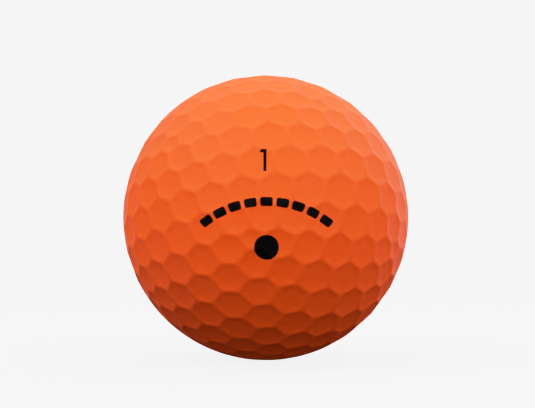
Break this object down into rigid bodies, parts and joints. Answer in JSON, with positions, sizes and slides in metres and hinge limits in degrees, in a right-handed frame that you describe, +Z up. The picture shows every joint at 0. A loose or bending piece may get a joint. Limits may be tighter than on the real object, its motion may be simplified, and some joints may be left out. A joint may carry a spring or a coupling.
{
  "type": "golf ball",
  "caption": "Two-piece golf ball: a solid rubber core inside a thin dimpled cover moulded from two half cups.",
  "frame": {"origin": "centre of the ball", "axes": "+Z up with the printed number upright, -Y out through the print, +X to the right of it"},
  "size_m": [0.0425, 0.0425, 0.0426],
  "materials": {
    "core_rubber": "matte, as moulded",
    "cover_paint": "ionomer under a matte orange coat",
    "print_ink": "black pad-printed ink under the matte coat"
  },
  "bodies": {
    "root": {"rubber_core": "core_rubber", "cover_half_a": "cover_paint", "cover_half_b": "cover_paint"}
  },
  "joints": []
}
